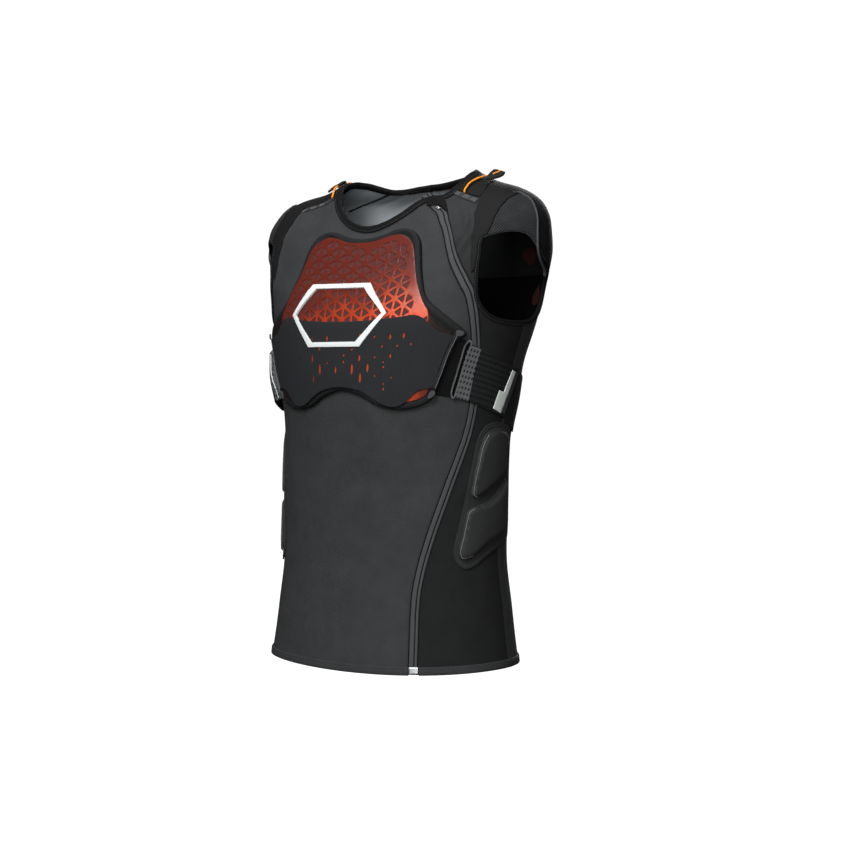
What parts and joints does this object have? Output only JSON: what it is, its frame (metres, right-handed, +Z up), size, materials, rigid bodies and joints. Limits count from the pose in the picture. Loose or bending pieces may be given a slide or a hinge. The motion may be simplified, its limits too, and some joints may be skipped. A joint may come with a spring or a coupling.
{
  "type": "protective vest",
  "caption": "Sleeveless padded protective vest, worn shape, with a pierced rigid chest guard, side straps, side pads and a zip on the wearer's left.",
  "frame": {"origin": "where the vest rests on the shoulders, on the middle plane at the height of the shoulder line", "axes": "+Z up, the wearer faces -Y, +X towards the wearer's left"},
  "size_m": [0.447, 0.2665, 0.6595],
  "materials": {
    "charcoal_knit": "matt knit",
    "black_binding": "matt",
    "cap_knit": "mottled knit",
    "zip_tape": "ribbed",
    "zip_metal": "satin",
    "guard_foam": "soft matt",
    "guard_plastic": "semi gloss",
    "cover_fabric": "matt",
    "badge_white": "satin print",
    "webbing": "woven",
    "tab_grey": "matt",
    "lining": "soft knit",
    "cord_orange": "braided",
    "pad_fabric": "matt"
  },
  "bodies": {
    "root": {"armhole_binding_left": "black_binding", "armhole_binding_right": "black_binding", "back_lining": "lining", "back_panel": "charcoal_knit", "back_strap_left": "webbing", "back_strap_right": "webbing", "cord_lock_left": "guard_foam", "cord_lock_right": "guard_foam", "corner_tab_low_left": "zip_tape", "corner_tab_low_right": "zip_tape", "corner_tab_top_left": "zip_tape", "corner_tab_top_right": "zip_tape", "cover_piping_left": "zip_tape", "cover_piping_right": "zip_tape", "emblem_lower": "badge_white", "emblem_upper": "badge_white", "front_panel": "charcoal_knit", "guard_base": "guard_foam", "guard_cover": "cover_fabric", "guard_plate": "guard_plastic", "guard_plate_lower": "guard_plastic", "hem_band": "charcoal_knit", "neck_binding": "black_binding", "pad_base_left": "pad_fabric", "pad_base_right": "pad_fabric", "pad_lower_left": "guard_foam", "pad_lower_right": "guard_foam", "pad_upper_left": "guard_foam", "pad_upper_right": "guard_foam", "shoulder_band_left": "black_binding", "shoulder_band_right": "black_binding", "shoulder_cord_left": "cord_orange", "shoulder_cord_right": "cord_orange", "shoulder_yoke_left": "black_binding", "shoulder_yoke_right": "black_binding", "side_front_panel": "charcoal_knit", "sleeve_cap_left": "cap_knit", "sleeve_cap_right": "cap_knit", "strap_elastic_left": "black_binding", "strap_elastic_right": "black_binding", "strap_end_left": "charcoal_knit", "strap_end_right": "charcoal_knit", "strap_loop_left": "guard_foam", "strap_loop_right": "guard_foam", "strap_tab_left": "tab_grey", "strap_tab_right": "tab_grey", "strap_webbing_left": "webbing", "strap_webbing_right": "webbing", "tack_band_left": "charcoal_knit", "tack_band_right": "charcoal_knit", "zip_box": "zip_metal", "zip_garage": "black_binding", "zip_slider": "zip_metal", "zip_strip_inner": "zip_tape", "zip_strip_outer": "zip_tape"}
  },
  "joints": []
}
